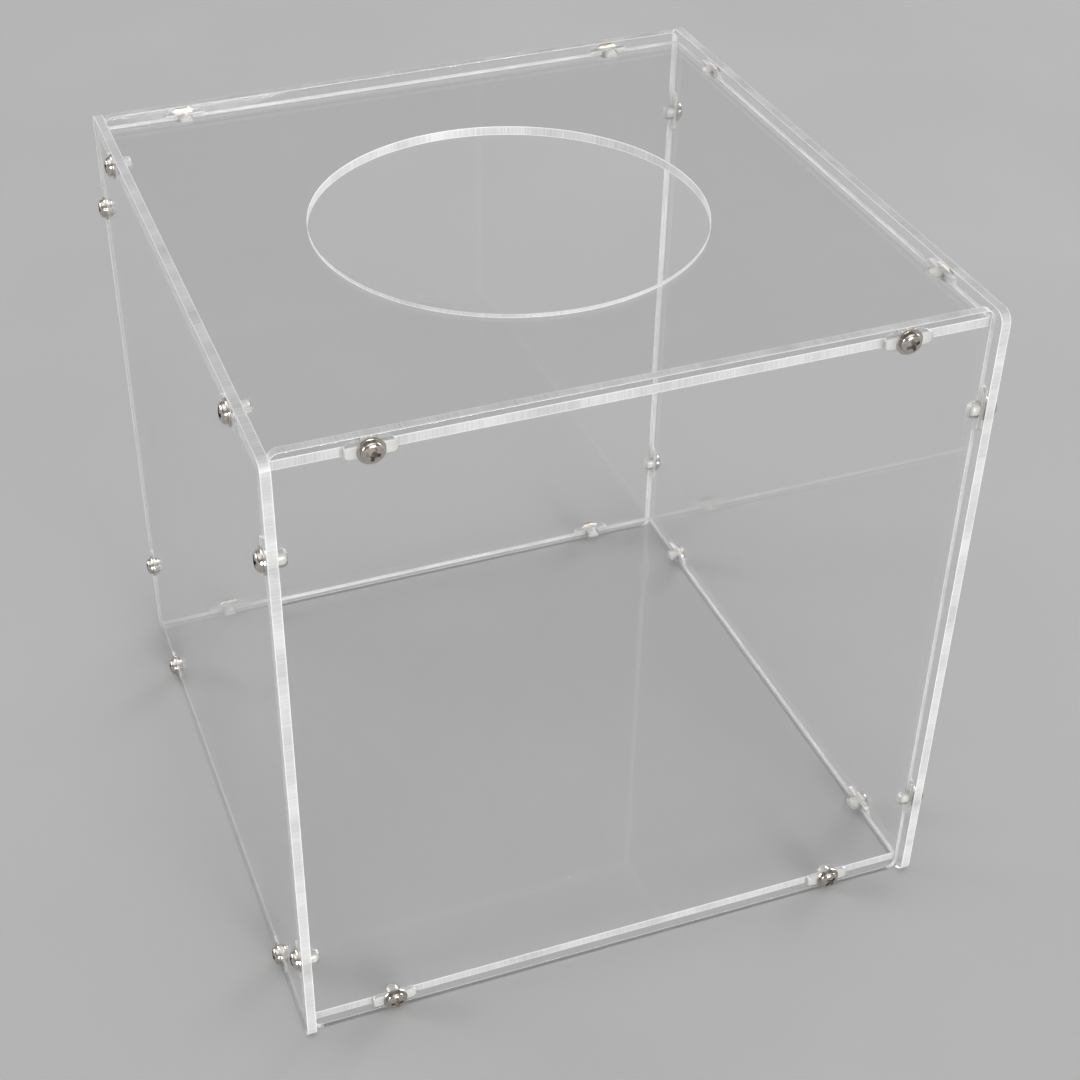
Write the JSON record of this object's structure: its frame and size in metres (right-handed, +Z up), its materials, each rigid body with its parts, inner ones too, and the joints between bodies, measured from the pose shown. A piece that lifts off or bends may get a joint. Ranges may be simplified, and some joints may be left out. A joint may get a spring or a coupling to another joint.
{
  "type": "donation box",
  "caption": "Clear cube-shaped acrylic donation box with a round hand hole in its top sheet, held at the edges by moulded connectors and screws.",
  "frame": {"origin": "centre of the rectangle the box stands on, at the walls' bottom edges", "axes": "+Z up, -Y the front, +X to the right as seen from the front"},
  "size_m": [0.1988, 0.2, 0.2],
  "materials": {
    "clear_acrylic": "polished faces, frosted cut edges",
    "clear_moulding": "gloss, clear moulded",
    "nickel_screw": "bright nickel plate"
  },
  "bodies": {
    "root": {"back_panel": "clear_acrylic", "back_wall_screws": "nickel_screw", "bottom_panel": "clear_acrylic", "connector_back_bottom_left": "clear_moulding", "connector_back_bottom_right": "clear_moulding", "connector_back_top_left": "clear_moulding", "connector_back_top_right": "clear_moulding", "connector_front_bottom_left": "clear_moulding", "connector_front_bottom_right": "clear_moulding", "connector_front_top_left": "clear_moulding", "connector_front_top_right": "clear_moulding", "connector_left_back_lower": "clear_moulding", "connector_left_back_upper": "clear_moulding", "connector_left_bottom_back": "clear_moulding", "connector_left_bottom_front": "clear_moulding", "connector_left_front_lower": "clear_moulding", "connector_left_front_upper": "clear_moulding", "connector_left_top_back": "clear_moulding", "connector_left_top_front": "clear_moulding", "connector_right_back_lower": "clear_moulding", "connector_right_back_upper": "clear_moulding", "connector_right_bottom_back": "clear_moulding", "connector_right_bottom_front": "clear_moulding", "connector_right_front_lower": "clear_moulding", "connector_right_front_upper": "clear_moulding", "connector_right_top_back": "clear_moulding", "connector_right_top_front": "clear_moulding", "front_panel": "clear_acrylic", "front_wall_screws": "nickel_screw", "left_side_panel": "clear_acrylic", "left_wall_screws": "nickel_screw", "right_side_panel": "clear_acrylic", "right_wall_screws": "nickel_screw", "top_panel": "clear_acrylic"}
  },
  "joints": []
}
